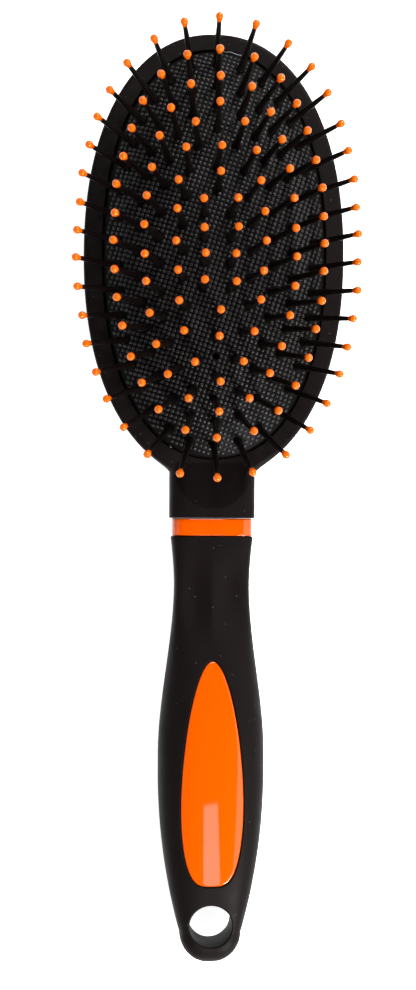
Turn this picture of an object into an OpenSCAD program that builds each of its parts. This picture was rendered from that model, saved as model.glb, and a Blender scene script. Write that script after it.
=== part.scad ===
// Oval cushion hairbrush lying on its back, pins up.
// Frame in millimetres: +Y towards the head's tip, +X to the right, +Z along the pins.
// The origin is under the middle of the brush, on the table.

/* [Overall] */
// Length from the head's tip to the handle's end
brush_length = 240; // [238:0.5:244]
// Height of the flat rim above the table
rim_z = 14; // [14:0.25:15]

/* [Head] */
// Half width of the oval head
head_half_w = 33.6; // [33.2:0.1:34.6]
// Half length of the oval head
head_half_l = 57.1; // [56.8:0.1:58]
// Squareness of the oval, where 2 is an ellipse
oval_power = 2.2; // [2.1:0.05:2.3]
// Radius of the rim's outer edge
rim_edge_r = 1; // [0.6:0.1:1.4]
// Width of the flat rim, from the outer edge to the cushion's recess
rim_w = 4.75; // [4.7:0.05:5]
// How far the head's sides draw in towards the flat back
back_draw = 30; // [27:0.5:31]
// Floor height of the air space under the cushion
air_floor_z = 6; // [5.5:0.25:7]

/* [Neck and collar] */
// Half width of the neck
neck_half_w = 11.05; // [10.9:0.05:11.3]
// Height of the neck's back above the table
neck_back_z = 1.2; // [1:0.1:1.6]
// Squareness of the neck's cross section
neck_power = 5; // [4.4:0.1:5.4]
// Depth of the round thumb dish on the neck
thumb_dish_depth = 0.9; // [0.6:0.05:1]
// Length of the coloured collar
collar_l = 4.7; // [4.4:0.1:5]
// How far the collar lies below the neck's surface
collar_step = 0.65; // [0.5:0.05:0.8]
// Width of the tang that joins the neck to the handle
tang_w = 12; // [11:0.5:13]
// Thickness of the tang
tang_t = 7.4; // [7:0.2:7.8]
// Length of the tang past the collar
tang_l = 22; // [18:1:26]

/* [Handle] */
// Half width at the waist
waist_half_w = 9.72; // [9.6:0.05:10]
// Half width at the widest place
belly_half_w = 13.75; // [13.4:0.05:14.2]
// Height of the front at the widest place
belly_top_z = 17.8; // [17.4:0.1:18.4]
// Radius of the rounded end
end_r = 8; // [7.8:0.1:8.4]
// Depth of the two hollows beside the waist's ridge
scoop_depth = 1.3; // [0.8:0.1:1.6]
// Radius of the hanging hole
hang_r = 5.5; // [5:0.05:5.6]
// Distance from the hanging hole's centre to the handle's end
hang_end_gap = 10.3; // [10:0.1:10.6]

/* [Inlay] */
// Length of the drop-shaped inlay
inlay_l = 57.8; // [57:0.1:59]
// Half width of the inlay at its widest place
inlay_half_w = 8.15; // [7.8:0.05:8.4]
// Gap round the inlay
inlay_gap = 0.15; // [0.1:0.05:0.2]

/* [Cushion] */
// Rise of the cushion above its edge
dome_h = 10.1; // [9.4:0.1:10.4]
// Share of the rise that comes in the shoulder near the edge
shoulder_share = 0.3; // [0.24:0.01:0.34]
// Thickness of the rubber
rubber_t = 1.8; // [1.6:0.1:2]
// Radius of the air vent
vent_r = 0.8; // [0.6:0.1:1]

/* [Pins] */
// Length of a pin from the cushion to the middle of its ball
pin_l = 16.5; // [16:0.25:17.5]
// Radius of the pin just under the ball
pin_top_r = 0.55; // [0.5:0.05:0.6]
// Radius of the pin above its collar
pin_low_r = 0.88; // [0.8:0.02:0.92]
// Radius of the collar that sits on the rubber
pin_collar_r = 1.1; // [1:0.05:1.2]
// Radius of the flange behind the rubber
pin_flange_r = 1.25; // [1.15:0.05:1.3]
// Radius of the ball tips
ball_r = 1; // [0.95:0.05:1.1]
// Pins in the outermost row
row_1_pins = 38; // [34:2:38]
// Pins in the second row
row_2_pins = 32; // [28:2:32]
// Pins in the third row
row_3_pins = 26; // [22:2:26]
// Pins in the fourth row
row_4_pins = 20; // [16:2:20]

/* [Hidden] */
gap = 0.05;
black = [0.12, 0.105, 0.10];
rubber = [0.15, 0.13, 0.125];
orange = [0.98, 0.37, 0.0];
tip_orange = [1.0, 0.42, 0.08];

tip_y = brush_length / 2;
end_y = tip_y - brush_length;
head_y = tip_y - head_half_l;
neck_end_y = head_y - head_half_l - 10.75;
collar_end_y = neck_end_y - collar_l;
neck_top_z = rim_z - 0.4;
widest_z = rim_z - 2.5;
sink = 1.5;

// Recess for the cushion and the cushion's own edge
recess_a = head_half_w - rim_w;
recess_b = head_half_l - rim_w + 0.4;
pad_a = recess_a - 0.2;
pad_b = recess_b - 0.2;
pad_edge_z = rim_z - 0.15;
seat_z = rim_z - 3;
glue_t = 0.25;
draw_in = 1.075;
shoulder_power = 6.5;
crown_power = 2.2;
inside_gap = 0.2;
// All rows of pins sit a little towards the neck
row_shift = 0.6;

// Handle stations
waist_y = collar_end_y - 12.2;
belly_y = collar_end_y - 56.2;
taper_y = collar_end_y - 60.2;
round_y = end_y + end_r;
hang_y = end_y + hang_end_gap;
handle_half_w = neck_half_w - 0.4;
handle_top_z = neck_top_z - 0.3;
handle_back_z = neck_back_z + 0.3;
hole_top_z = handle_top_z + 0.5;
hole_back_z = handle_back_z - 0.1;
inlay_top_y = collar_end_y - 31.75;
inlay_floor_z = 12.2;
belly_power = 2.6;

// ---- small functions ----

function clamp01(v) = max(0, min(1, v));
function smooth(v) = let (u = clamp01(v)) u * u * (3 - 2 * u);
function signed_pow(v, p) = sign(v) * pow(abs(v), p);

// A point on a superellipse
function oval_point(a, b, n, t) = [a * signed_pow(cos(t), 2 / n), b * signed_pow(sin(t), 2 / n)];

// The outline of an oval, evenly spaced in angle
function oval(a, b, steps = 72) =
    [for (i = [0:steps - 1]) oval_point(a, b, oval_power, 360 * i / steps)];

// Half width of an oval at a distance from its middle
function oval_half(d, a, b) =
    (a <= 0 || b <= 0 || abs(d) >= b) ? 0 : a * pow(1 - pow(abs(d) / b, oval_power), 1 / oval_power);

// Half width of a rounded box section at a height
function box_half(z, w, low, high, n) =
    let (s = abs(z - (low + high) / 2) / ((high - low) / 2))
    s >= 1 ? 0 : w * pow(1 - pow(s, n), 1 / n);

// ---- lofted solids ----

// Side faces between rows of points, two triangles for each cell
function side_faces(rows, count) = [
    for (i = [0:rows - 2]) for (j = [0:count - 1])
        let (k = (j + 1) % count, p = i * count, q = p + count)
        each [[p + j, q + k, p + k], [p + j, q + j, q + k]]
];

module loft(sections) {
    count = len(sections[0]);
    rows = len(sections);
    first = [for (j = [0:count - 1]) j];
    last = [for (j = [count - 1:-1:0]) (rows - 1) * count + j];
    polyhedron(
        points = [for (s = sections) each s],
        faces = concat([first], side_faces(rows, count), [last]),
        convexity = 10
    );
}

// ---- head ----

// How far the head's outline is drawn in at a height
function head_inset(z) =
    z < widest_z
        ? back_draw * (1 - sqrt(max(0, 1 - pow((widest_z - z) / (widest_z + sink), 2))))
        : z > rim_z - rim_edge_r
            ? rim_edge_r - sqrt(max(0, pow(rim_edge_r, 2) - pow(z - rim_z + rim_edge_r, 2)))
            : 0;

// Lowest height of the head at a distance from its middle
function head_low(d) =
    let (s = clamp01((head_half_l - abs(d)) / back_draw))
    widest_z - (widest_z + sink) * sqrt(1 - pow(1 - s, 2));

// The neck fades out inside the head
function neck_share(y) = 1 - smooth((y - neck_end_y - 18) / 30);

function head_half(y, z) =
    let (
        s = head_inset(z),
        h = oval_half(y - head_y, head_half_w - s, head_half_l - s),
        n = neck_share(y) * box_half(z, neck_half_w, neck_back_z, top_of(y), neck_power)
    )
    pow(pow(h, 6) + pow(n, 6), 1 / 6);

function top_of(y) = neck_top_z + (rim_z - neck_top_z) * smooth((y - neck_end_y - 9) / 6);
function low_of(y) = neck_share(y) > 0.01 ? min(head_low(y - head_y), neck_back_z) : head_low(y - head_y);

function head_section(y, steps = 15) =
    let (
        low = low_of(y),
        high = top_of(y),
        zs = [for (i = [0:steps]) low + (high - low) * (1 - cos(180 * i / steps)) / 2],
        ws = [for (i = [0:steps]) max(0.1 + 0.008 * i * (steps - i), head_half(y, zs[i]))]
    )
    concat(
        [for (i = [0:steps]) [ws[i], y, zs[i]]],
        [for (i = [steps:-1:0]) [-ws[i], y, zs[i]]]
    );

head_stations = concat(
    [for (t = [1.5, 5, 10, 16, 23]) head_y + head_half_l * cos(t)],
    [for (t = [31:7.5:136]) head_y + head_half_l * cos(t)],
    [for (i = [0:13]) neck_end_y + 18.6 * (1 - i / 13)]
);

module tang(grow) {
    translate([0, neck_end_y - collar_l - tang_l - grow, (neck_top_z + neck_back_z) / 2])
        translate([-tang_w / 2 - grow, 0, -tang_t / 2 - grow])
            cube([tang_w + 2 * grow, collar_l + tang_l + 6, tang_t + 2 * grow]);
}

module oval_prism(a, b, low, high) {
    translate([0, head_y, low])
        linear_extrude(high - low)
            polygon(oval(a, b));
}

module head_shell() {
    dish_r = 9.9;
    ball = (pow(dish_r, 2) + pow(thumb_dish_depth, 2)) / (2 * thumb_dish_depth);
    color(black)
    difference() {
        union() {
            intersection() {
                loft([for (y = head_stations) head_section(y)]);
                translate([-60, neck_end_y - 1, 0]) cube([120, brush_length, rim_z + 1]);
            }
            tang(0);
        }
        oval_prism(recess_a, recess_b, seat_z, rim_z + 1);
        oval_prism(recess_a - 2.5, recess_b - 2.5, air_floor_z, rim_z);
        oval_prism(recess_a - 9.5, recess_b - 9.5, 3, rim_z);
        translate([0, neck_end_y + 12.4, neck_top_z - thumb_dish_depth + ball]) sphere(r = ball, $fn = 96);
    }
}

// ---- cushion ----

// Distance in from the edge of the cushion's ring through a point
function ring_of(x, y, low = 0, high = pad_a - 0.01, n = 22) =
    n == 0 ? (low + high) / 2 :
    let (
        t = (low + high) / 2,
        v = pow(abs(x) / (pad_a - t), oval_power) + pow(abs(y) / max(0.01, pad_b - draw_in * t), oval_power)
    )
    v < 1 ? ring_of(x, y, t, high, n - 1) : ring_of(x, y, low, t, n - 1);

// Height of the cushion above its edge: a steep shoulder and a long crown
function surface_z(x, y) =
    let (
        u = 1 - ring_of(x, y) / pad_a,
        v = pow(pow(abs(x) / pad_a, oval_power) + pow(abs(y) / pad_b, oval_power), 1 / oval_power)
    )
    dome_h * (1 - shoulder_share * pow(u, shoulder_power)
        - (1 - shoulder_share) * pow(min(1, v), crown_power));

// Slopes of the cushion along X and Y
function slopes(x, y) =
    let (e = 0.05)
    [surface_z(x + e, y) - surface_z(x - e, y), surface_z(x, y + e) - surface_z(x, y - e)] / (2 * e);

// A ring of the cushion's outside, or of its inside a thickness below
dome_in = [0.9, 2.2, 3.9, 6, 8.8, 12.2, 16, 20.2, 24.6, pad_a - 0.7];
skirt_low = seat_z + glue_t - pad_edge_z;

function dome_ring(t, under, steps) = [
    for (i = [0:steps - 1])
        let (
            p = oval_point(pad_a - t, pad_b - draw_in * t, oval_power, 360 * i / steps),
            s = under > 0 ? slopes(p[0], p[1]) : [0, 0],
            k = under / sqrt(1 + s * s)
        )
        [p[0] + k * s[0], head_y + p[1] + k * s[1], pad_edge_z + surface_z(p[0], p[1]) - k]
];

function level_ring(t, z, steps) = [
    for (i = [0:steps - 1])
        let (p = oval_point(pad_a - t, pad_b - draw_in * t, oval_power, 360 * i / steps))
        [p[0], head_y + p[1], pad_edge_z + z]
];

// Closes a narrow ring by joining the points on its two sides
function zip_faces(first, steps, up) = [
    for (k = [0:steps / 2 - 1])
        let (
            q = steps / 4,
            r = first + (q - k + steps) % steps,
            r2 = first + (q - k - 1 + steps) % steps,
            l = first + (q + k) % steps,
            l2 = first + (q + k + 1) % steps,
            tris = k == 0 ? [[r, l2, r2]]
                : k == steps / 2 - 1 ? [[r, l, r2]]
                : [[r, l, r2], [l, l2, r2]]
        )
        for (t = tris) up ? [t[0], t[2], t[1]] : t
];

module cushion_body(steps = 60) {
    // From the inside's top down to the skirt, then up the outside
    n = len(dome_in);
    rings = concat(
        [for (i = [n - 1:-1:1]) dome_ring(dome_in[i], rubber_t, steps)],
        [level_ring(1.7, skirt_low, steps), level_ring(0, skirt_low, steps), level_ring(0, 0, steps)],
        [for (i = [0:n - 1]) dome_ring(dome_in[i], 0, steps)]
    );
    polyhedron(
        points = [for (r = rings) each r],
        faces = concat(
            zip_faces(0, steps, false),
            side_faces(len(rings), steps),
            zip_faces((len(rings) - 1) * steps, steps, true)
        ),
        convexity = 10
    );
}

// The place of a pin as [x, y, height, tilt, bearing], measured from the cushion's middle
function seat(x, y) =
    let (g = slopes(x, y))
    [x, y, surface_z(x, y), atan(norm(g)), atan2(-g[1], -g[0])];

// Lengths along an oval from its top end, as [length, angle]
function arc_table(a, b, steps = 240) = [
    for (
        i = 0, s = 0;
        i <= steps;
        i = i + 1,
        s = s + norm(
            oval_point(a, b, oval_power, 90 + 360 * i / steps)
            - oval_point(a, b, oval_power, 90 + 360 * (i - 1) / steps)
        )
    ) [s, 90 + 360 * i / steps]
];

// Pins of a row, spaced evenly along an oval
function row_seats(t, count) =
    let (
        a = pad_a - t,
        b = pad_b - draw_in * t + 0.2,
        table = arc_table(a, b),
        total = table[len(table) - 1][0]
    )
    [for (i = [0:count - 1])
        let (p = oval_point(a, b, oval_power, lookup(total * i / count, table)))
        seat(p[0], p[1] - row_shift)];

seats_1 = row_seats(3.8, row_1_pins);
seats_2 = row_seats(9.25, row_2_pins);
seats_3 = row_seats(14.2, row_3_pins);
seats_4 = row_seats(20, row_4_pins);
seats_5 = concat(
    [for (x = [-3.3, 3.3]) for (y = [-9.3, -3.1, 3.1, 9.3]) seat(x, y - row_shift)],
    [for (y = [-21.4, -15.6, 15.6, 21.4]) seat(0, y - row_shift)]
);

module at_seats(seats) {
    for (s = seats)
        translate([s[0], head_y + s[1], pad_edge_z + s[2]])
            rotate([0, s[3], s[4]])
                children();
}

module pin() {
    back = -rubber_t - inside_gap;
    rotate_extrude($fn = 24)
        polygon([
            [0, back - 0.8], [pin_flange_r, back - 0.8], [pin_flange_r, back], [0.68, back],
            [0.68, 0.08], [pin_collar_r, 0.08], [pin_collar_r, 0.45], [pin_low_r, 1.6],
            [pin_top_r, pin_l - 1.45], [0.4, pin_l - 1.45], [0.4, pin_l + 0.2], [0, pin_l + 0.2]
        ]);
}

module ball_tip() {
    difference() {
        union() {
            translate([0, 0, pin_l]) sphere(r = ball_r, $fn = 32);
            translate([0, 0, pin_l - 1.4]) cylinder(h = 1, r1 = 0.64, r2 = 0.88, $fn = 32);
        }
        translate([0, 0, pin_l - 1.6]) cylinder(h = 1.85, r = 0.43, $fn = 24);
    }
}

module pin_hole() {
    translate([0, 0, -rubber_t - 0.9]) cylinder(h = rubber_t + 1.8, r = 0.74, $fn = 24);
}

module cushion_pad() {
    color(rubber)
    difference() {
        cushion_body();
        at_seats(concat(seats_1, seats_2, seats_3, seats_4, seats_5)) pin_hole();
        translate([0, head_y - 27, pad_edge_z]) cylinder(h = 20, r = vent_r, $fn = 24);
    }
}

module pad_adhesive() {
    color([0.5, 0.48, 0.44])
    difference() {
        oval_prism(pad_a - 0.05, pad_b - 0.05, seat_z, seat_z + glue_t);
        oval_prism(recess_a - 1.9, recess_b - 1.9, seat_z - 1, seat_z + 1);
    }
}

// ---- collar ----

function ring_section(y, w, low, high, n, steps = 32) = [
    for (i = [0:steps - 1])
        let (t = 360 * i / steps)
        [
            w * signed_pow(cos(t), 2 / n),
            y,
            (low + high) / 2 + (high - low) / 2 * signed_pow(sin(t), 2 / n)
        ]
];

module collar_ring() {
    w = neck_half_w - collar_step;
    low = neck_back_z + collar_step;
    high = neck_top_z - collar_step;
    color(orange)
    difference() {
        loft([
            for (s = [[0, 0.3], [0.3, 0], [collar_l - 0.4, 0], [collar_l - 0.1, 0.3]])
                ring_section(neck_end_y - gap - s[0], w - s[1], low + s[1], high - s[1], neck_power, 48)
        ]);
        tang(gap);
    }
}

// ---- handle ----

// Share of the way down the taper from the widest place to the rounded end
function taper(y) = pow(clamp01((taper_y - y) / (taper_y - round_y)), 2.05);

// Share kept in the rounded end
function rounding(y, p) = y > round_y ? 1 : pow(max(0.0004, 1 - pow((round_y - y) / end_r, p)), 1 / p);

function handle_half(y) =
    (y > waist_y
        ? waist_half_w + (handle_half_w - waist_half_w) * pow((y - waist_y) / (collar_end_y - waist_y), 1.6)
        : waist_half_w + (belly_half_w - waist_half_w) * smooth((waist_y - y) / (waist_y - belly_y))
            - (belly_half_w - end_r) * taper(y))
    * rounding(y, 2);

function handle_top(y) =
    handle_top_z
        + (belly_top_z - handle_top_z) * smooth((collar_end_y - 5 - y) / (collar_end_y - 5 - belly_y))
    - (belly_top_z - hole_top_z) * taper(y);

function handle_low(y) =
    handle_back_z - (handle_back_z + 0.8) * smooth((collar_end_y - 8 - y) / (collar_end_y - 8 - belly_y))
    + (hole_back_z + 0.8) * taper(y);

function handle_power(y) =
    neck_power + (belly_power - neck_power) * smooth((collar_end_y - y) / 40) + 0.8 * taper(y);

// The hollows lie either side of a ridge at the waist
function scoop(y) =
    scoop_depth * pow(sin(180 * clamp01((collar_end_y - 1 - y) / 31)), 2);

function handle_point(y, t, drop) =
    let (
        n = handle_power(y),
        mid = (handle_top(y) + handle_low(y)) / 2,
        half = (handle_top(y) - handle_low(y)) / 2 * rounding(y, 2.4) - drop,
        u = signed_pow(cos(t), 2 / n),
        dip = sin(t) > 0 ? scoop(y) * pow(4 * abs(u) * (1 - abs(u)), 1.6) : 0
    )
    [(handle_half(y) - drop) * u, y, mid + half * signed_pow(sin(t), 2 / n) - dip];

handle_stations = concat(
    [for (i = [0:13]) collar_end_y - gap - 32 * i / 13],
    [for (i = [1:15]) collar_end_y - 32 - (collar_end_y - 32 - round_y) * i / 15],
    [for (t = [15, 30, 44, 57, 68, 77, 84, 89]) round_y - end_r * sin(t)]
);

module handle_solid(drop, steps = 40) {
    loft([
        for (y = handle_stations)
            [for (i = [0:steps - 1]) handle_point(y, 360 * (i + 0.5) / steps, drop)]
    ]);
}

// Half width of the drop shape, a distance down from its point
function drop_half(d) =
    let (wide = 0.636 * inlay_l, v = clamp01((d - wide) / (inlay_l - wide)))
    d < wide
        ? inlay_half_w * pow(1 - pow(1 - d / wide, 1.7), 0.54)
        : inlay_half_w * pow(1 - pow(v, 2.1), 1 / 3.4);

// The drop shape, drawn in all round, with blunt ends where it is drawn in a lot
module drop_shape(inset) {
    steps = 26;
    k = (inlay_l - 2 * inset) / inlay_l;
    all = [for (i = [0:steps]) inlay_l * (1 - cos(180 * i / steps)) / 2];
    side = [for (d = all) if (drop_half(d) > inset + 0.2) [drop_half(d) - inset, -inset - k * d]];
    tips = inset < 1 ? [[0, -inset], [0, inset - inlay_l]] : [];
    points = concat(
        [for (t = tips) if (t[1] > -1) t],
        side,
        [for (t = tips) if (t[1] < -1) t],
        [for (i = [len(side) - 1:-1:0]) [-side[i][0], side[i][1]]]
    );
    translate([0, inlay_top_y]) polygon(points);
}

// Places of the inlay's pegs, as distances down from its point
pegs = [[0, 12], [-4, 30], [4, 30], [-4, 48], [4, 48]];

module handle_body() {
    color(black)
    difference() {
        union() {
            difference() {
                intersection() {
                    handle_solid(0);
                    translate([-30, end_y - 1, 0]) cube([60, brush_length, 30]);
                }
                translate([0, 0, inlay_floor_z - gap]) linear_extrude(20) drop_shape(0);
                translate([0, 0, 3.4]) linear_extrude(20) drop_shape(2.4);
            }
            for (p = pegs)
                translate([p[0], inlay_top_y - p[1], 3]) cylinder(h = inlay_floor_z - 3.2, r = 2.4, $fn = 32);
        }
        tang(0.08);
        for (p = pegs)
            translate([p[0], inlay_top_y - p[1], 6]) cylinder(h = 10, r = 1.3, $fn = 32);
        translate([0, hang_y, -1]) cylinder(h = 30, r = hang_r, $fn = 64);
    }
}

module handle_inlay() {
    color(orange)
    union() {
        difference() {
            intersection() {
                handle_solid(0.12);
                translate([0, 0, inlay_floor_z]) linear_extrude(20) drop_shape(inlay_gap);
            }
            translate([0, 0, inlay_floor_z - 1]) linear_extrude(2) drop_shape(4);
        }
        for (p = pegs)
            translate([p[0], inlay_top_y - p[1], inlay_floor_z - 4.5]) cylinder(h = 6, r = 1.25, $fn = 32);
    }
}

// ---- pins and tips by row ----

module pins_row_1() color(black) at_seats(seats_1) pin();
module pins_row_2() color(black) at_seats(seats_2) pin();
module pins_row_3() color(black) at_seats(seats_3) pin();
module pins_row_4() color(black) at_seats(seats_4) pin();
module pins_row_5() color(black) at_seats(seats_5) pin();
module pin_tips_row_1() color(tip_orange) at_seats(seats_1) ball_tip();
module pin_tips_row_2() color(tip_orange) at_seats(seats_2) ball_tip();
module pin_tips_row_3() color(tip_orange) at_seats(seats_3) ball_tip();
module pin_tips_row_4() color(tip_orange) at_seats(seats_4) ball_tip();
module pin_tips_row_5() color(tip_orange) at_seats(seats_5) ball_tip();

head_shell();
cushion_pad();
pad_adhesive();
collar_ring();
handle_body();
handle_inlay();
pins_row_1();
pins_row_2();
pins_row_3();
pins_row_4();
pins_row_5();
pin_tips_row_1();
pin_tips_row_2();
pin_tips_row_3();
pin_tips_row_4();
pin_tips_row_5();
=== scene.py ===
import math

import bpy
import numpy as np
from mathutils import Matrix, Vector


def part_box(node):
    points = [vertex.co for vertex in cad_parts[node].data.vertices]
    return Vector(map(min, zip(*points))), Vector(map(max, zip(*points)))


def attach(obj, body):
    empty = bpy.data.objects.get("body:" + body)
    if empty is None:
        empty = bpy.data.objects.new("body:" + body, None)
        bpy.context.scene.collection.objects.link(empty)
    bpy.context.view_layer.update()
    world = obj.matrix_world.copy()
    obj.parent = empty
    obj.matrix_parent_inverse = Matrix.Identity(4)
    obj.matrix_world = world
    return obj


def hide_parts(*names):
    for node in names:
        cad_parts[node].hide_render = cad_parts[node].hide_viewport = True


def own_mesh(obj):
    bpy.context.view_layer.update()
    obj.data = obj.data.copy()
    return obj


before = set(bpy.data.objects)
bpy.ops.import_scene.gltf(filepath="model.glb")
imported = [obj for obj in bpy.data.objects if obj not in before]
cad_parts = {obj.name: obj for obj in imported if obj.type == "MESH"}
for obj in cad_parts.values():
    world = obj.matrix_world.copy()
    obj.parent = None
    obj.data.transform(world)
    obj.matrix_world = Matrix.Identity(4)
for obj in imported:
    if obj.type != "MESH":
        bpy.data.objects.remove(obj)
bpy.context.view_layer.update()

MM = 0.001
rng = np.random.default_rng(5)


def span(node):
    """The two corners of a node's box, in millimetres."""
    lo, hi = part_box(node)
    return np.array(lo) / MM, np.array(hi) / MM


# ---- sizes from the frame ----

pad_lo, pad_hi = span("cushion_pad")
head_hi = span("head_shell")[1]
collar_lo, collar_hi = span("collar_ring")
handle_lo = span("handle_body")[0]

HEAD_Y = (pad_lo[1] + pad_hi[1]) / 2
TIP_Y = head_hi[1]
HEAD_W, HEAD_L = head_hi[0], TIP_Y - HEAD_Y
RIM_Z = head_hi[2]
PAD_A, PAD_B = pad_hi[0], (pad_hi[1] - pad_lo[1]) / 2
EDGE_Z = RIM_Z - 0.15
RISE = pad_hi[2] - EDGE_Z
GAP = 0.05
NECK_END_Y = collar_hi[1] + GAP
COLLAR_END_Y = collar_lo[1] - GAP
END_Y = handle_lo[1]
OVAL = 2.2

# ---- sizes repeated from the part ----

RECESS_GROW = 0.2
RIM_EDGE_R = 1.0
BACK_DRAW, SINK = 30.0, 1.5
WIDEST_Z = RIM_Z - 2.5
NECK_W, NECK_BACK_Z, NECK_POWER, BELLY_POWER = 11.05, 1.2, 5.0, 2.6
NECK_TOP_Z = RIM_Z - 0.4
FLARE_START, FLARE_L = 18, 30
RAMP_START, RAMP_L = 9, 6
DISH_R, DISH_DEPTH, DISH_Y = 9.9, 0.9, NECK_END_Y + 12.4
SHOULDER_SHARE, SHOULDER_POWER, CROWN_POWER, DRAW_IN = 0.3, 6.5, 2.2, 1.075
ROW_SHIFT = 0.6
VENT_Y, VENT_R = HEAD_Y - 27, 0.8
PIN_L, BALL_R = 16.5, 1.0
# Each ring of pins, from the outside in: how far it lies inside the cushion's edge, and its pins
ROWS = {1: (3.8, 38), 2: (9.25, 32), 3: (14.2, 26), 4: (20.0, 20)}
WAIST_W, BELLY_W, BELLY_TOP_Z, END_R = 9.72, 13.75, 17.8, 8.0
WAIST_Y, BELLY_Y, TAPER_Y = COLLAR_END_Y - 12.2, COLLAR_END_Y - 56.2, COLLAR_END_Y - 60.2
ROUND_Y, HANG_Y, HANG_R = END_Y + END_R, END_Y + 10.3, 5.5
HANDLE_W = NECK_W - 0.4
HANDLE_TOP_Z, HANDLE_BACK_Z = NECK_TOP_Z - 0.3, NECK_BACK_Z + 0.3
SCOOP, SCOOP_L = 1.3, 31
INLAY_TOP_Y, INLAY_L, INLAY_W, INLAY_GAP = COLLAR_END_Y - 31.75, 57.8, 8.15, 0.15
INLAY_FLOOR_Z = 12.2

# ---- details that only the looks have ----

# A rounded lip as shares of its size: how deep each ring of points lies, and how far out
LIP = [(1.0, 0.0), (0.6, 0.08), (0.3, 0.29), (0.08, 0.6), (0.0, 1.0)]


# ---- small functions ----

def smooth(v):
    u = np.clip(v, 0, 1)
    return u * u * (3 - 2 * u)


def signed_pow(v, p):
    return np.sign(v) * np.abs(v) ** p


def oval_point(a, b, turn, power=OVAL):
    x = a * signed_pow(np.cos(turn), 2 / power)
    return np.stack([x, b * signed_pow(np.sin(turn), 2 / power)], -1)


def around(count, start=0.0):
    return start + 2 * np.pi * np.arange(count) / count


def soft_min(a, b, reach):
    """The smaller of two heights, with a soft change over about reach."""
    d = a - b
    return a - (d + np.sqrt(d * d + reach * reach)) / 2


def spread(path, count, corner=8.0):
    """Points along a path: evenly by length, and closer where it turns, by corner millimetres a radian."""
    path = path[np.concatenate([[True], np.linalg.norm(np.diff(path, axis=0), axis=1) > 1e-7])]
    step = np.diff(path, axis=0)
    heading = np.unwrap(np.arctan2(step[:, 1], step[:, 0]))
    bend = np.abs(np.diff(heading, prepend=heading[0]))
    run = np.concatenate([[0], np.cumsum(np.linalg.norm(step, axis=1) + corner * bend)])
    at = run[-1] * np.arange(count) / (count - 1)
    return np.stack([np.interp(at, run, path[:, 0]), np.interp(at, run, path[:, 1])], -1)


# ---- meshes ----

def make(name, verts, faces, body, slot, *replaced, sharp=40):
    """A smooth-shaded piece from points in millimetres, riding a body."""
    mesh = bpy.data.meshes.new(name)
    mesh.from_pydata((np.asarray(verts) * MM).tolist(), [], [list(map(int, f)) for f in faces])
    mesh.validate()
    return finish_piece(name, mesh, body, slot, *replaced, sharp=sharp)


def finish_piece(name, mesh, body, slot, *replaced, sharp=40):
    mesh.shade_smooth()
    mesh.set_sharp_from_angle(angle=math.radians(sharp))
    piece = bpy.data.objects.new(name, mesh)
    bpy.context.scene.collection.objects.link(piece)
    if body:
        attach(piece, body)
    if slot:
        mesh.materials.append(MATERIALS[slot])
    if replaced:
        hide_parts(*replaced)
    return piece


def grid_faces(rows, count, first=0):
    """Quads between rings of points; each ring closes on itself."""
    i, j = np.meshgrid(np.arange(rows - 1), np.arange(count), indexing="ij")
    k = (j + 1) % count
    p, q = first + i * count, first + (i + 1) * count
    return np.stack([p + j, p + k, q + k, q + j], -1).reshape(-1, 4)


def tube(rings, first=0):
    """Points and faces of a closed form through rings of points, with an end fan on each."""
    rings = np.asarray(rings)
    rows, count, _ = rings.shape
    points = np.concatenate([rings.reshape(-1, 3), [rings[0].mean(0)], [rings[-1].mean(0)]])
    a, b = first + rows * count, first + rows * count + 1
    faces = [list(f) for f in grid_faces(rows, count, first)]
    j = np.arange(count)
    k = (j + 1) % count
    faces += [[a, first + y, first + x] for x, y in zip(j, k)]
    base = first + (rows - 1) * count
    faces += [[b, base + x, base + y] for x, y in zip(j, k)]
    return points, faces


def zipped(rings):
    """Like tube, but the last ring, narrow and mirrored about X = 0, closes side to side."""
    rings = np.asarray(rings)
    rows, count, _ = rings.shape
    points = np.concatenate([rings.reshape(-1, 3), [rings[0].mean(0)]])
    faces = [list(f) for f in grid_faces(rows, count)]
    faces += [[rows * count, (j + 1) % count, j] for j in range(count)]
    last = (rows - 1) * count
    for j in range(count // 2):
        ring = [last + j, last + j + 1, last + (count - j - 1) % count, last + (count - j) % count]
        faces.append(list(dict.fromkeys(ring)))
    return points, [f for f in faces if len(f) > 2]


def solid_mesh(name, rings, flip=False, form=tube):
    """A mesh through rings of points, turned inside out where the rings run the other way."""
    points, faces = form(rings)
    mesh = bpy.data.meshes.new(name)
    mesh.from_pydata((points * MM).tolist(), [], [list(map(int, f[::-1] if flip else f)) for f in faces])
    return mesh


def cut(mesh, *cutters):
    """The mesh with other meshes taken away."""
    body = bpy.data.objects.new("cut_body", mesh)
    bpy.context.scene.collection.objects.link(body)
    tools = []
    for cutter in cutters:
        tool = bpy.data.objects.new("cut_tool", cutter)
        bpy.context.scene.collection.objects.link(tool)
        tools.append(tool)
        modifier = body.modifiers.new("cut", "BOOLEAN")
        modifier.operation = "DIFFERENCE"
        modifier.solver = "EXACT"
        modifier.object = tool
    graph = bpy.context.evaluated_depsgraph_get()
    made = bpy.data.meshes.new_from_object(body.evaluated_get(graph))
    for o in [body, *tools]:
        bpy.data.objects.remove(o)
    return made


# ---- materials ----

def material(name, colour, roughness, **inputs):
    made = bpy.data.materials.new(name)
    made.use_nodes = True
    shader = made.node_tree.nodes["Principled BSDF"]
    shader.inputs["Base Color"].default_value = (*colour, 1)
    shader.inputs["Roughness"].default_value = roughness
    for key, value in inputs.items():
        shader.inputs[key.replace("_", " ")].default_value = value
    return made


def node(made, kind, **values):
    n = made.node_tree.nodes.new(kind)
    for key, value in values.items():
        if key in n.inputs:
            n.inputs[key].default_value = value
        else:
            setattr(n, key.lower(), value)
    return n


def link(made, a, out, b, into):
    made.node_tree.links.new(a.outputs[out], b.inputs[into])


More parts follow.
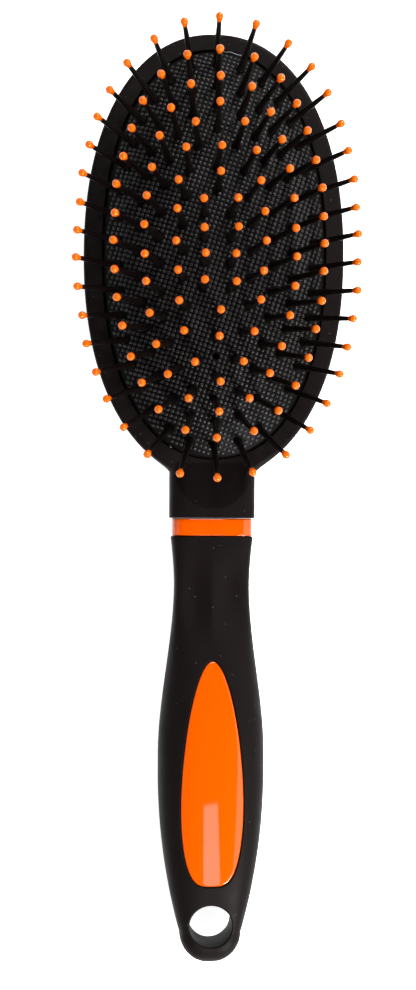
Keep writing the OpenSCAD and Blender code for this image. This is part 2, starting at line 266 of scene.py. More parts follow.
def grain(made, scale, height, rough_low, rough_high, detail=4.0):
    """Fine surface grain: a bump, and roughness that wanders a little."""
    shader = made.node_tree.nodes["Principled BSDF"]
    where = node(made, "ShaderNodeTexCoord")
    fine = node(made, "ShaderNodeTexNoise", Scale=scale, Detail=detail)
    link(made, where, "Object", fine, "Vector")
    bump = node(made, "ShaderNodeBump", Strength=1.0, Distance=height)
    link(made, fine, "Fac", bump, "Height")
    link(made, bump, "Normal", shader, "Normal")
    patchy = node(made, "ShaderNodeTexNoise", Scale=scale / 30, Detail=3.0)
    link(made, where, "Object", patchy, "Vector")
    remap = node(made, "ShaderNodeMapRange")
    remap.inputs["From Min"].default_value = 0.3
    remap.inputs["From Max"].default_value = 0.7
    remap.inputs["To Min"].default_value = rough_low
    remap.inputs["To Max"].default_value = rough_high
    link(made, patchy, "Fac", remap, "Value")
    link(made, remap, "Result", shader, "Roughness")
    return where


def dust(made, where, scale, size, kept, colour):
    """Sparse pale specks of dust, in the share of a fine pattern's cells that is kept."""
    shader = made.node_tree.nodes["Principled BSDF"]
    base = tuple(shader.inputs["Base Color"].default_value)
    cells = node(made, "ShaderNodeTexVoronoi", Scale=scale)
    link(made, where, "Object", cells, "Vector")
    near = node(made, "ShaderNodeMath", operation="LESS_THAN")
    near.inputs[1].default_value = size
    link(made, cells, "Distance", near, 0)
    split = node(made, "ShaderNodeSeparateColor")
    link(made, cells, "Color", split, "Color")
    chosen = node(made, "ShaderNodeMath", operation="LESS_THAN")
    chosen.inputs[1].default_value = kept
    link(made, split, "Red", chosen, 0)
    both = node(made, "ShaderNodeMath", operation="MULTIPLY")
    link(made, near, "Value", both, 0)
    link(made, chosen, "Value", both, 1)
    mix = node(made, "ShaderNodeMix", data_type="RGBA")
    mix.inputs[6].default_value = base
    mix.inputs[7].default_value = (*colour, 1)
    link(made, both, "Value", mix, 0)
    made.node_tree.links.new(mix.outputs[2], shader.inputs["Base Color"])


def make_materials():
    dust_grey = (0.085, 0.078, 0.072)
    soft = material("soft_black", (0.0042, 0.003, 0.0027), 0.55, Specular_IOR_Level=0.04)
    where = grain(soft, 5200, 0.00001, 0.44, 0.56)
    dust(soft, where, 640, 0.07, 0.3, dust_grey)

    # Coat for the thumb dish: a little smoother, and darker as painted shade
    dish_shade = material("dish_painted_shade", (0.0026, 0.0018, 0.0016), 0.5, Specular_IOR_Level=0.03)
    where = grain(dish_shade, 5200, 0.000008, 0.4, 0.5)
    dust(dish_shade, where, 640, 0.07, 0.3, dust_grey)

    rubber = material("pad_rubber", (0.0014, 0.0009, 0.0008), 0.55, Specular_IOR_Level=0.06)
    where = grain(rubber, 3800, 0.000012, 0.42, 0.6)
    dust(rubber, where, 500, 0.05, 0.1, (0.14, 0.13, 0.12))

    # The dots are glossier than the skin between them, and lighter in colour: painted shade on the skin in
    # the gaps
    dots = material("pad_dots_painted_lighter", (0.0042, 0.0034, 0.0033), 0.36, Specular_IOR_Level=0.34)
    grain(dots, 3800, 0.000006, 0.3, 0.42)

    nylon = material("pin_nylon", (0.0022, 0.0010, 0.0008), 0.34, Specular_IOR_Level=0.16)
    grain(nylon, 2400, 0.000008, 0.28, 0.42)

    tip = material("tip_orange", (0.54, 0.078, 0.0), 0.07, Specular_IOR_Level=0.55)
    tip.node_tree.nodes["Principled BSDF"].inputs["Specular Tint"].default_value = (1, 0.7, 0.3, 1)
    grain(tip, 1500, 0.000001, 0.06, 0.12)

    gloss = material("gloss_orange", (0.5, 0.056, 0.0), 0.06, Specular_IOR_Level=0.5)
    where = grain(gloss, 900, 0.000001, 0.03, 0.06)
    dust(gloss, where, 330, 0.035, 0.06, (0.95, 0.35, 0.18))

    glue = material("glue", (0.3, 0.31, 0.34), 0.25)
    grain(glue, 3000, 0.00001, 0.15, 0.35)
    return {"soft_black": soft, "pad_rubber": rubber, "pin_nylon": nylon, "tip_orange": tip,
            "gloss_orange": gloss, "glue": glue, "dots": dots, "dish_shade": dish_shade}


MATERIALS = make_materials()


# ---- head and neck ----

def head_inset(z):
    """How far the head's outline is drawn in at a height: its rounded back, and the rim's edge."""
    below = BACK_DRAW * (1 - np.sqrt(np.clip(1 - ((WIDEST_Z - z) / (WIDEST_Z + SINK)) ** 2, 0, 1)))
    edge = RIM_EDGE_R - np.sqrt(np.clip(RIM_EDGE_R ** 2 - (z - RIM_Z + RIM_EDGE_R) ** 2, 0, None))
    return np.where(z < WIDEST_Z, below, np.where(z > RIM_Z - RIM_EDGE_R, edge, 0))


def oval_half(d, a, b):
    inside = (a > 0) & (b > 0) & (np.abs(d) < b)
    share = np.clip(np.abs(d) / np.where(b > 0, b, 1), 0, 1)
    return np.where(inside, a * (1 - share ** OVAL) ** (1 / OVAL), 0)


def box_half(z, w, low, high, power):
    s = np.clip(np.abs(z - (low + high) / 2) / ((high - low) / 2), 0, 1)
    return w * (1 - s ** power) ** (1 / power)


def neck_share(y):
    return 1 - smooth((y - NECK_END_Y - FLARE_START) / FLARE_L)


def head_top(y):
    return NECK_TOP_Z + (RIM_Z - NECK_TOP_Z) * smooth((y - NECK_END_Y - RAMP_START) / RAMP_L)


def head_low(y):
    s = np.clip((HEAD_L - np.abs(y - HEAD_Y)) / BACK_DRAW, 0, 1)
    low = WIDEST_Z - (WIDEST_Z + SINK) * np.sqrt(1 - (1 - s) ** 2)
    return np.where(neck_share(y) > 0.01, np.minimum(low, NECK_BACK_Z), low)


def head_half(y, z):
    """Half the width of head and neck together."""
    s = head_inset(z)
    h = oval_half(y - HEAD_Y, HEAD_W - s, HEAD_L - s)
    n = neck_share(y) * box_half(z, NECK_W, NECK_BACK_Z, head_top(y), NECK_POWER)
    return (h ** 6 + n ** 6) ** (1 / 6)


def head_section(y, levels=700, count=96):
    """A ring of points across the head: up the right side, over the top and down the left."""
    low, high = float(head_low(y)), float(head_top(y))
    z = low + (high - low) * (1 - np.cos(np.pi * np.arange(levels + 1) / levels)) / 2
    x = np.maximum(0.02, head_half(np.full_like(z, y), z))
    path = np.stack([np.append(x, 0), np.append(np.maximum(z, 0), high)], -1)
    path = np.concatenate([[[0, path[0, 1]]], path])
    right = spread(path, count)
    ring = np.concatenate([right, right[-2:0:-1] * [-1, 1]])
    ring = np.stack([ring[:, 0], np.full(len(ring), y), ring[:, 1]], -1)
    # The round thumb dish is pressed into the neck's front
    ball = (DISH_R ** 2 + DISH_DEPTH ** 2) / (2 * DISH_DEPTH)
    r = np.hypot(ring[:, 0], y - DISH_Y)
    dish = NECK_TOP_Z - DISH_DEPTH + ball - np.sqrt(np.clip(ball ** 2 - r ** 2, 0, None))
    upper = ring[:, 2] > RIM_Z - 3
    pressed = soft_min(ring[:, 2], dish, 0.04)
    ring[:, 2] = np.where(upper & (r < DISH_R + 3), pressed, ring[:, 2])
    return ring


def neck_end_rings(edge):
    """The neck's last rings, which round its end over."""
    middle = np.array([0, (NECK_TOP_Z + NECK_BACK_Z) / 2])
    rings = []
    for inset in (0.1, 0.22, edge):
        ring = head_section(NECK_END_Y + edge - inset)
        shrink = 1 - inset ** 2 * 3 / NECK_W
        ring[:, [0, 2]] = middle + (ring[:, [0, 2]] - middle) * shrink
        rings.append(ring)
    return rings


def cushion_recess():
    """Rings of the recess that the cushion sits in, with a rounded lip at the rim."""
    floor_z, lip = 8, 0.28
    turn = around(200)
    levels = [(floor_z, 0)]
    levels += [(RIM_Z - lip * deep, lip * wide) for deep, wide in LIP]
    levels.append((RIM_Z + 1, lip * 1.4))
    rings = []
    for z, grow in levels:
        xy = oval_point(PAD_A + RECESS_GROW + grow, PAD_B + RECESS_GROW + grow, turn)
        rings.append(np.column_stack([xy[:, 0], HEAD_Y + xy[:, 1], np.full(len(turn), z)]))
    return rings


def make_head():
    bend, edge = HEAD_Y - 40, 0.3
    steps = 1 - np.cos(np.pi / 2 * np.arange(0, 131) / 130)
    stations = np.concatenate([
        TIP_Y - 0.02 - (TIP_Y - bend) * steps,
        np.linspace(bend, NECK_END_Y + edge, 84)[1:],
    ])
    rings = [head_section(y) for y in stations] + neck_end_rings(edge)
    mesh = cut(solid_mesh("head", rings), solid_mesh("recess", cushion_recess()))
    head = finish_piece("head_moulding", mesh, "brush", "soft_black", "head_shell", sharp=35)

    # The thumb dish gets a coat of its own, a little smoother and darker than the coat around it: the
    # darkness is painted shade, so the dish's edge shows
    mesh.materials.append(MATERIALS["dish_shade"])
    centres = np.array([p.center for p in mesh.polygons]) / MM
    inside = (np.hypot(centres[:, 0], centres[:, 1] - DISH_Y) < DISH_R) & (centres[:, 2] > NECK_TOP_Z - 1.5)
    on_neck = centres[:, 1] < HEAD_Y - PAD_B - 1
    # Faces inside the dish take the darker coat: painted shade
    mesh.polygons.foreach_set("material_index", (inside & on_neck).astype(np.int32))
    return head


# ---- collar ----

def make_collar():
    step, edge = 0.65, 0.35
    w, low, high = NECK_W - step, NECK_BACK_Z + step, NECK_TOP_Z - step
    start, end = collar_hi[1], collar_lo[1]
    profile = []
    for t in np.linspace(0, np.pi / 2, 6):
        profile.append((start - edge * (1 - math.cos(t)), edge * (1 - math.sin(t))))
    for t in np.linspace(np.pi / 2, 0, 6):
        profile.append((end + edge * (1 - math.cos(t)), edge * (1 - math.sin(t))))
    turn = around(160)
    rings = []
    for y, inset in profile:
        xy = oval_point(w - inset, (high - low) / 2 - inset, turn, NECK_POWER)
        rings.append(np.column_stack([xy[:, 0], np.full(len(turn), y), (low + high) / 2 + xy[:, 1]]))
    points, faces = tube(rings)
    return make("collar", points, faces, "brush", "gloss_orange", "collar_ring")


# ---- handle ----

def taper(y):
    return np.clip((TAPER_Y - y) / (TAPER_Y - ROUND_Y), 0, 1) ** 2.05


def rounding(y, power):
    """Share of the full size that is left in the handle's round end."""
    s = np.clip((ROUND_Y - y) / END_R, 0, 1)
    return np.maximum(0.0004, 1 - s ** power) ** (1 / power)


def handle_half(y):
    upper = WAIST_W + (HANDLE_W - WAIST_W) * np.clip((y - WAIST_Y) / (COLLAR_END_Y - WAIST_Y), 0, 1) ** 1.6
    lower = (WAIST_W + (BELLY_W - WAIST_W) * smooth((WAIST_Y - y) / (WAIST_Y - BELLY_Y))
             - (BELLY_W - END_R) * taper(y))
    return np.where(y > WAIST_Y, upper, lower) * rounding(y, 2)


def handle_top(y):
    rise = smooth((COLLAR_END_Y - 5 - y) / (COLLAR_END_Y - 5 - BELLY_Y))
    return (HANDLE_TOP_Z + (BELLY_TOP_Z - HANDLE_TOP_Z) * rise
            - (BELLY_TOP_Z - HANDLE_TOP_Z - 0.5) * taper(y))


def handle_low(y):
    fall = smooth((COLLAR_END_Y - 8 - y) / (COLLAR_END_Y - 8 - BELLY_Y))
    return HANDLE_BACK_Z - (HANDLE_BACK_Z + 0.8) * fall + (HANDLE_BACK_Z + 0.7) * taper(y)


def handle_power(y):
    return NECK_POWER + (BELLY_POWER - NECK_POWER) * smooth((COLLAR_END_Y - y) / 40) + 0.8 * taper(y)


def front_dip(y, u):
    """Depth of the two hollows beside the ridge at the waist."""
    depth = SCOOP * np.sin(np.pi * np.clip((COLLAR_END_Y - 1 - y) / SCOOP_L, 0, 1)) ** 2
    return depth * (4 * np.abs(u) * (1 - np.abs(u))) ** 1.6


def handle_heights(y):
    """Height of the handle's middle, and half its thickness."""
    top, low = handle_top(y), handle_low(y)
    return (top + low) / 2, (top - low) / 2 * rounding(y, 2.4)


def across(x, y):
    """Share of the handle's half width, and of its half thickness, at a place."""
    n = handle_power(y)
    u = np.clip(np.abs(x) / handle_half(y), 0, 1)
    return u, (1 - u ** n) ** (1 / n)


def front_z(x, y):
    mid, half = handle_heights(y)
    u, v = across(x, y)
    return mid + half * v - front_dip(y, u)


def back_z(x, y):
    mid, half = handle_heights(y)
    return mid - half * across(x, y)[1]


def drop_half(d):
    """Half the drop's width at a distance down from its point."""
    wide = 0.636 * INLAY_L
    v = np.clip((d - wide) / (INLAY_L - wide), 0, 1)
    above = INLAY_W * np.clip(1 - np.clip(1 - d / wide, 0, 1) ** 1.7, 0, 1) ** 0.54
    return np.where(d < wide, above, INLAY_W * np.clip(1 - v ** 2.1, 0, 1) ** (1 / 3.4))


def drop_outline(count=220):
    """Points round the drop, evenly spaced, starting at its point, with the outward direction at each."""
    d = INLAY_L * (1 - np.cos(np.pi * np.arange(0, 801) / 800)) / 2
    side = np.stack([drop_half(d), INLAY_TOP_Y - d], -1)
    loop = np.concatenate([side, side[-2:0:-1] * [-1, 1]])
    closed = np.concatenate([loop, loop[:1]])
    run = np.concatenate([[0], np.cumsum(np.linalg.norm(np.diff(closed, axis=0), axis=1))])
    at = run[-1] * np.arange(count) / count
    points = np.stack([np.interp(at, run, closed[:, 0]), np.interp(at, run, closed[:, 1])], -1)
    along = np.roll(points, -1, 0) - np.roll(points, 1, 0)
    along /= np.linalg.norm(along, axis=1)[:, None]
    # Clockwise as seen from the front, so the outward side is on the left
    out = np.stack([-along[:, 1], along[:, 0]], -1)
    for _ in range(3):
        out = (np.roll(out, 1, 0) + 2 * out + np.roll(out, -1, 0)) / 4
    return points, out / np.linalg.norm(out, axis=1)[:, None]


def handle_section(y, drop=0.0, count=90):
    """A ring of points from the back's middle, up the right side and down the left."""
    turn = around(1600)
    n = float(handle_power(y))
    u = signed_pow(np.cos(turn), 2 / n)
    v = signed_pow(np.sin(turn), 2 / n)
    mid, half = handle_heights(y)
    x = (handle_half(y) - drop) * u
    z = np.maximum(mid + (half - drop) * v - np.where(v > 0, front_dip(y, u), 0), 0)
    start = len(turn) // 4 * 3
    path = np.stack([np.roll(x, -start), np.roll(z, -start)], -1)[:len(turn) // 2 + 1]
    right = spread(path, count, corner=4.0)
    right[0, 0] = right[-1, 0] = 0
    ring = np.concatenate([right, right[-2:0:-1] * [-1, 1]])
    return np.column_stack([ring[:, 0], np.full(len(ring), float(y)), ring[:, 1]])


def inlay_recess():
    """Rings of the recess for the inlay, with a rounded lip that follows the front."""
    depth_in, lip = 6.5, 0.3
    outline, out = drop_outline()
    levels = [(depth_in, 0.0)]
    levels += [(lip * deep, lip * wide) for deep, wide in LIP]
    levels.append((-2.0, lip * 2))
    rings = []
    for depth, grow in levels:
        xy = outline + out * grow
        rings.append(np.column_stack([xy, front_z(xy[:, 0], xy[:, 1]) - depth]))
    return rings


def hanging_hole():
    """Rings of the hanging hole, rounded over at the front and the back."""
    edge = 0.5
    steps = [(-2.0, 1.3), (0.0, 1.0), (0.08, 0.6), (0.29, 0.29), (0.6, 0.08), (1.0, 0.0)]
    spin = around(120)
    front, back = [], []
    for depth, grow in steps:
        r = HANG_R + grow * edge
        x, y = r * np.cos(spin), HANG_Y + r * np.sin(spin)
        front.append(np.column_stack([x, y, front_z(x, y) - depth * edge]))
        back.append(np.column_stack([x, y, back_z(x, y) + depth * edge]))
    return front + back[::-1]


def make_handle():
    edge = 0.25
    first = COLLAR_END_Y - GAP
    end_angles = np.radians([8, 16, 24, 32, 40, 48, 55, 61, 67, 72, 77, 81, 85, 88, 89.3])
    stations = np.concatenate([
        np.linspace(first - edge, ROUND_Y, 190),
        ROUND_Y - END_R * np.sin(end_angles),
    ])
    rings = [handle_section(first - edge * (1 - math.cos(t)), edge * (1 - math.sin(t)))
             for t in np.linspace(0, 1.4, 5)]
    rings += [handle_section(y) for y in stations]
    mesh = cut(solid_mesh("handle", rings), solid_mesh("recess", inlay_recess(), flip=True),
               solid_mesh("hole", hanging_hole(), flip=True))
    return finish_piece("handle_moulding", mesh, "brush", "soft_black", "handle_body", sharp=35)


def make_inlay():
    edge, sunk = 0.32, 0.12
    outline, out = drop_outline(260)
    inner = outline - out * INLAY_GAP

    def under_front(xy, depth):
        return np.column_stack([xy, front_z(xy[:, 0], xy[:, 1]) - sunk - depth])

    rings = [np.column_stack([inner, np.full(len(inner), INLAY_FLOOR_Z + 0.1)]), under_front(inner, edge)]
    for t in np.linspace(0.2, 1, 5) * np.pi / 2:
        rings.append(under_front(inner - out * edge * (1 - math.cos(t)), edge * (1 - math.sin(t))))
    # The front is filled towards a line down the drop's middle
    spine_y = np.clip(outline[:, 1], INLAY_TOP_Y - INLAY_L + 7.5, INLAY_TOP_Y - 4)
    spine = np.stack([np.zeros(len(outline)), spine_y], -1)
    edge_xy = inner - out * edge
    for share in np.linspace(0, 0.97, 16)[1:]:
        rings.append(under_front(edge_xy * (1 - share) + spine * share, 0.0))
    points, faces = zipped(rings)
    faces = [f[::-1] for f in faces]
    return make("inlay", points, faces, "brush", "gloss_orange", "handle_inlay", sharp=60)


# ---- cushion ----

def ring_of(x, y):
    """Distance in from the edge of the cushion's ring through a point."""
    x, y = np.abs(np.asarray(x, float)), np.abs(np.asarray(y, float))
    low = np.zeros(np.broadcast(x, y).shape)
    high = np.full(low.shape, PAD_A - 0.01)
    for _ in range(26):
        t = (low + high) / 2
        inside = (x / (PAD_A - t)) ** OVAL + (y / np.maximum(0.01, PAD_B - DRAW_IN * t)) ** OVAL < 1
        low, high = np.where(inside, t, low), np.where(inside, high, t)
    return (low + high) / 2


def rise(x, y):
    """Height of the cushion above its edge."""
    u = 1 - ring_of(x, y) / PAD_A
    v = ((np.abs(x) / PAD_A) ** OVAL + (np.abs(y) / PAD_B) ** OVAL) ** (1 / OVAL)
    shoulder = SHOULDER_SHARE * u ** SHOULDER_POWER
    return RISE * (1 - shoulder - (1 - SHOULDER_SHARE) * np.minimum(1, v) ** CROWN_POWER)


def stand(x, y):
    """Points on the cushion, and the way its surface faces there."""
    x, y = np.asarray(x, float), np.asarray(y, float)
    e = 0.05
    gx = (rise(x + e, y) - rise(x - e, y)) / (2 * e)
    gy = (rise(x, y + e) - rise(x, y - e)) / (2 * e)
    up = np.stack([-gx, -gy, np.ones_like(gx)], -1)
    up /= np.linalg.norm(up, axis=-1)[..., None]
    return np.stack([x, HEAD_Y + y, EDGE_Z + rise(x, y)], -1), up


def row_places(inset, count):
    """Where the pins of a ring stand, evenly spaced along it, from the cushion's middle."""
    a, b = PAD_A - inset, PAD_B - DRAW_IN * inset + 0.2
    path = oval_point(a, b, np.pi / 2 + around(2400))
    path = np.concatenate([path, path[:1]])
    run = np.concatenate([[0], np.cumsum(np.linalg.norm(np.diff(path, axis=0), axis=1))])
    at = run[-1] * np.arange(count) / count
    return np.stack([np.interp(at, run, path[:, 0]), np.interp(at, run, path[:, 1]) - ROW_SHIFT], -1)


SEATS = {k: row_places(*v) for k, v in ROWS.items()}
SEATS[5] = np.array([(x, y - ROW_SHIFT) for x in (-3.3, 3.3) for y in (-9.3, -3.1, 3.1, 9.3)]
                    + [(0, y - ROW_SHIFT) for y in (-21.4, -15.6, 15.6, 21.4)])


def placed(template, spots, ups, spins):
    """Copies of a template, one standing on each spot with its z axis along up."""
    side = np.cross(ups, [0.0, 1.0, 0.0])
    side /= np.linalg.norm(side, axis=1)[:, None]
    other = np.cross(ups, side)
    c, s = np.cos(spins)[:, None], np.sin(spins)[:, None]
    x_axis, y_axis = side * c + other * s, other * c - side * s
    t = template
    return (spots[:, None] + t[None, :, :1] * x_axis[:, None] + t[None, :, 1:2] * y_axis[:, None]
            + t[None, :, 2:3] * ups[:, None])


def lathe(profile, count):
    """A turned form from (radius, height) points, closed by a fan at each end."""
    turn = around(count)
    rings = [np.column_stack([r * np.cos(turn), r * np.sin(turn), np.full(count, z)]) for r, z in profile]
    return tube(rings)


def copies(template, faces, spots, ups, spins):
    """Points and faces of all the copies of a template together."""
    points = placed(template, spots, ups, spins)
    n = len(template)
    every = [[v + i * n for v in f] for i in range(len(spots)) for f in faces]
    return points.reshape(-1, 3), every


def row_dip(t):
    """Each row of pins draws the rubber down a little, and it swells between the rows."""
    return sum(-0.16 * np.exp(-((t - inset) / 1.1) ** 2) for inset, _ in ROWS.values()) * (t > 0.5)


def stud(profile):
    """A raised dot with a rounded square outline."""
    turn = around(8)
    corner = 1 / (np.abs(np.cos(turn)) ** 2.6 + np.abs(np.sin(turn)) ** 2.6) ** (1 / 2.6)
    rings = [np.column_stack([r * corner * np.cos(turn), r * corner * np.sin(turn), np.full(len(turn), z)])
             for r, z in profile]
    points, faces = tube(rings)
    return points, [f for f in faces if len(points) - 2 not in f]


def pad_skin():
    """The smooth rubber skin, with the vent cut through it."""
    turn = around(240, np.pi / 2)
    insets = np.concatenate([[0.06, 0.15, 0.3, 0.45], PAD_A * (np.arange(1, 56) / 56) ** 1.25])
    insets = np.sort(insets[insets < PAD_A - 0.3])
    rings = []
    for z in (pad_lo[2] + 0.1, EDGE_Z - 0.2):
        xy = oval_point(PAD_A - 0.05, PAD_B - 0.05, turn)
        rings.append(np.column_stack([xy[:, 0], HEAD_Y + xy[:, 1], np.full(len(turn), z)]))
    for t in insets:
        xy = oval_point(PAD_A - t, PAD_B - DRAW_IN * t, turn)
        p, up = stand(xy[:, 0], xy[:, 1])
        # The skin's edge turns down towards the rim
        p[:, 2] -= 0.6 * max(0, 1 - t / 0.5) ** 2
        rings.append(p + up * row_dip(t))
    spin = around(28)
    vent = [np.column_stack([VENT_R * np.cos(spin), VENT_Y + VENT_R * np.sin(spin), np.full(len(spin), z)])
            for z in (EDGE_Z + 1, EDGE_Z + RISE + 4)]
    return cut(solid_mesh("pad", rings, form=zipped), solid_mesh("vent", vent))


def on_skin(x, y):
    """Places on the skin as it dips between the rows, and the way it faces there."""
    spots, ups = stand(x, y)
    return spots + ups * row_dip(ring_of(x, y))[:, None], ups


def raised_dots(openings):
    """The rubber's raised dots lie in a square lattice, turned against the brush."""
    pitch, lean, clear = 1.2, math.radians(-18), 1.3
    n = int(PAD_B / pitch * 1.5)
    i, j = np.meshgrid(np.arange(-n, n + 1), np.arange(-n, n + 1))
    x = (i * math.cos(lean) - j * math.sin(lean)).ravel() * pitch
    y = (i * math.sin(lean) + j * math.cos(lean)).ravel() * pitch
    inside = (np.abs(x) / (PAD_A - 1)) ** OVAL + (np.abs(y) / (PAD_B - 1)) ** OVAL < 1
    x, y = x[inside], y[inside]
    nearest = np.min([np.hypot(x - sx, y - sy) for sx, sy in openings], axis=0)
    x, y = x[nearest > clear], y[nearest > clear]
    x += rng.normal(0, 0.025, len(x))
    y += rng.normal(0, 0.025, len(x))
    dot, dot_faces = stud([(0.49, -0.1), (0.46, 0.17), (0.32, 0.3)])
    return copies(dot, dot_faces, *on_skin(x, y), np.full(len(x), lean))


def opening_rings(openings):
    """A low ring of rubber round each pin, and round the vent."""
    profile = [(1.75, -0.15), (1.68, 0.02), (1.5, 0.1), (1.3, 0.1), (1.16, 0.0), (1.12, -0.2)]
    ring, faces = lathe(profile, 18)
    open_faces = [f for f in faces if len(ring) - 1 not in f and len(ring) - 2 not in f]
    return copies(ring, open_faces, *on_skin(openings[:, 0], openings[:, 1]), np.zeros(len(openings)))


def make_cushion():
    openings = np.concatenate([*SEATS.values(), [[0, VENT_Y - HEAD_Y]]])
    skin = pad_skin()
    dots = raised_dots(openings)
    joined = join(skin, dots, opening_rings(openings))
    # The dots take a lighter material than the skin: painted shade in the gaps between them
    is_dot = np.zeros(len(joined.polygons), np.int32)
    first = len(skin.polygons)
    is_dot[first:first + len(dots[1])] = 1
    pad = finish_piece("cushion", joined, "brush", "pad_rubber", "cushion_pad", sharp=50)
    pad.data.materials.append(MATERIALS["dots"])
    pad.data.polygons.foreach_set("material_index", is_dot)
    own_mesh(pad)
    return pad


def join(mesh, *parts):
    """A mesh with more parts, each of points in millimetres and faces."""
    points = [np.array([v.co for v in mesh.vertices])]
    faces = [list(p.vertices) for p in mesh.polygons]
    for more, more_faces in parts:
        first = sum(len(p) for p in points)
        points.append(more * MM)
        faces += [[v + first for v in f] for f in more_faces]
    made = bpy.data.meshes.new("joined")
    made.from_pydata(np.concatenate(points).tolist(), [], faces)
    return made


# ---- pins ----

def make_pins():
    shaft = [(0.75, -0.5), (0.98, 0.0), (1.1, 0.12), (1.1, 0.34), (1.04, 0.5), (0.94, 0.95), (0.88, 1.6),
             (0.78, 6.0), (0.65, 12.0), (0.55, PIN_L - 1.2), (0.5, PIN_L - 0.8)]
    turned, turned_faces = lathe(shaft, 14)
    # A short sleeve under the ball, then the ball itself
    ball = [(0.45, -1.5), (0.6, -1.45), (0.68, -1.2), (0.8, -0.78)]
    arc = np.radians([-32, -16, 0, 16, 32, 48, 63, 76, 85])
    ball += [(BALL_R * math.cos(t), BALL_R * math.sin(t)) for t in arc]
    knob, knob_faces = lathe([(r, PIN_L + z) for r, z in ball], 18)
    for row, places in SEATS.items():
        spots, ups = stand(places[:, 0], places[:, 1])
        # Each pin leans a little its own way
        ups = ups + rng.normal(0, 0.012, ups.shape)
        ups /= np.linalg.norm(ups, axis=1)[:, None]
        spins = rng.uniform(0, 2 * np.pi, len(places))
        points, faces = copies(turned, turned_faces, spots, ups, spins)
        make(f"pins_{row}", points, faces, f"row_{row}", "pin_nylon", f"pins_row_{row}", sharp=50)
        points, faces = copies(knob, knob_faces, spots, ups, spins)
        make(f"tips_{row}", points, faces, f"row_{row}", "tip_orange", f"pin_tips_row_{row}", sharp=60)


# ---- glue ----

def thread(path, radius, count=8):
    """Rings of a thin, uneven thread along a path."""
    path = np.asarray(path, float)
    along = np.gradient(path, axis=0)
    along /= np.linalg.norm(along, axis=1)[:, None]
    side = np.cross(along, [0, 0, 1.0])
    side /= np.linalg.norm(side, axis=1)[:, None]
    up = np.cross(side, along)
    turn = around(count)
    along_it = np.linspace(0.15, np.pi - 0.15, len(path))
    wide = radius * (0.25 + 0.45 * np.sin(along_it) + 0.3 * np.sin(9 * along_it) ** 2)
    return [p + w * (np.cos(turn)[:, None] * s + np.sin(turn)[:, None] * u)
            for p, s, u, w in zip(path, side, up, wide)]


def make_glue():
    # Where each thread starts and how long it is, in degrees round the cushion, and its radius
    runs = [(78, 7.5, 0.11), (76.5, 3, 0.08), (85, 3.5, 0.06), (112, 1.5, 0.06), (249, 1.2, 0.06)]
    count = 40
    points, faces = [], []
    first = 0
    for start, length, radius in runs:
        a = np.radians(start + np.linspace(0, length, count))
        xy = oval_point(PAD_A + 0.02, PAD_B + 0.02, a)
        wave = 0.12 * np.sin(np.linspace(0, 7, count) + start)
        path = np.column_stack([xy[:, 0] * (1 + wave / 60), HEAD_Y + xy[:, 1] * (1 + wave / 60),
                                np.full(count, EDGE_Z + 0.02) + wave * 0.4])
        p, f = tube(thread(path, radius))
        points.append(p)
        faces += [[v + first for v in face] for face in f]
        first += len(p)
    return make("glue_threads", np.concatenate(points), faces, "brush", "glue", sharp=80)


def show_adhesive():
    """The bead of glue from the frame stays, in the threads' material."""
    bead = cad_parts["pad_adhesive"]
    bead.data.materials.clear()
    bead.data.materials.append(MATERIALS["glue"])


# ---- stage, light and camera ----

def make_stage():
    size = 3.0
    mesh = bpy.data.meshes.new("floor")
    corners = [(-size, -size, 0), (size, -size, 0), (size, size, 0), (-size, size, 0)]
    mesh.from_pydata(corners, [], [(0, 1, 2, 3)])
    floor = bpy.data.objects.new("floor", mesh)
    bpy.context.scene.collection.objects.link(floor)
    glow = {"Emission_Color": (1, 1, 1, 1), "Emission_Strength": 0.93}
    white = material("floor_white", (0.6, 0.6, 0.6), 0.9, **glow)
    grain(white, 300, 0.00002, 0.85, 0.95)
    mesh.materials.append(white)


def make_world():
    """A plain surround that is light near the horizon and dark overhead."""
    world = bpy.data.worlds.new("studio")
    world.use_nodes = True
    bpy.context.scene.world = world
    tree = world.node_tree
    back = tree.nodes["Background"]
    where = tree.nodes.new("ShaderNodeTexCoord")
    split = tree.nodes.new("ShaderNodeSeparateXYZ")
    ramp = tree.nodes.new("ShaderNodeValToRGB")
    tree.links.new(where.outputs["Generated"], split.inputs[0])
    tree.links.new(split.outputs["Z"], ramp.inputs[0])
    tree.links.new(ramp.outputs[0], back.inputs[0])
    marks = ramp.color_ramp.elements
    marks[0].position, marks[0].color = 0.0, (0.7, 0.7, 0.7, 1)
    marks[1].position, marks[1].color = 0.6, (0.01, 0.01, 0.01, 1)
    middle = marks.new(0.2)
    middle.color = (0.25, 0.25, 0.25, 1)
    back.inputs[1].default_value = 1.0


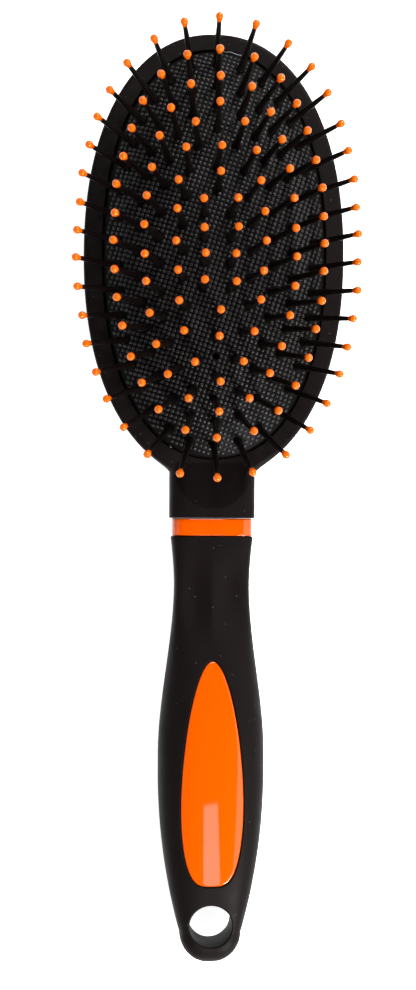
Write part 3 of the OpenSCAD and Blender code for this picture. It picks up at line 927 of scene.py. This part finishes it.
def make_light(name, place, target, size, power, colour=(1, 1, 1)):
    data = bpy.data.lights.new(name, "AREA")
    data.shape = "RECTANGLE"
    data.size, data.size_y = size
    data.energy = power
    data.color = colour
    light = bpy.data.objects.new(name, data)
    light.location = place
    light.rotation_mode = "QUATERNION"
    light.rotation_quaternion = (Vector(target) - Vector(place)).to_track_quat("-Z", "Y")
    bpy.context.scene.collection.objects.link(light)


def make_lights():
    middle = (0, 0, 0.01)
    make_light("key", (0.26, 0.53, 0.44), middle, (0.16, 0.16), 6)
    make_light("low", (0.26, -0.5, 0.42), middle, (0.2, 0.2), 10.5)
    make_light("strip", (0.031, -0.335, 0.51), (0.01, -0.09, 0.015), (0.068, 0.26), 0.2)
    make_light("over", (0.0, 0.32, 0.55), (0, 0.06, 0.02), (0.1, 0.42), 1.2)
    make_light("left_panel", (-0.55, 0, 0.32), middle, (0.9, 0.45), 1.1)
    make_light("right_panel", (0.5, -0.1, 0.4), middle, (0.8, 0.5), 2.4)


def make_camera():
    """A camera straight above the brush, but for a few degrees of lean and turn."""
    distance, sideways, forward, turn = 0.403, 3.4, -0.6, 0.3
    step = 0.000257  # width of one pixel at the point looked at, in metres
    image_height = 990  # pixels along the sensor's longer side
    r, q, a = (math.radians(v) for v in (sideways, forward, turn))
    target = Vector((0, 0, RIM_Z * MM))
    back = Vector((-math.sin(r) * math.cos(q), math.sin(q), math.cos(r) * math.cos(q)))
    right = (-back).cross(Vector((0, 1, 0))).normalized()
    up = right.cross(-back)
    right_turned = math.cos(a) * right + math.sin(a) * up
    up_turned = math.cos(a) * up - math.sin(a) * right
    data = bpy.data.cameras.new("camera")
    data.lens = data.sensor_width * distance / step / image_height
    data.shift_x, data.shift_y = -5.2 / image_height, 3.9 / image_height
    data.clip_start, data.clip_end = 0.01, 10
    camera = bpy.data.objects.new("camera", data)
    bpy.context.scene.collection.objects.link(camera)
    turned = Matrix((right_turned, up_turned, back)).transposed()
    camera.matrix_world = Matrix.Translation(target + distance * back) @ turned.to_4x4()
    bpy.context.scene.camera = camera


make_head()
make_collar()
make_handle()
make_inlay()
make_cushion()
make_pins()
make_glue()
show_adhesive()

make_stage()
make_world()
make_lights()
make_camera()
bpy.context.scene.view_settings.view_transform = "Standard"
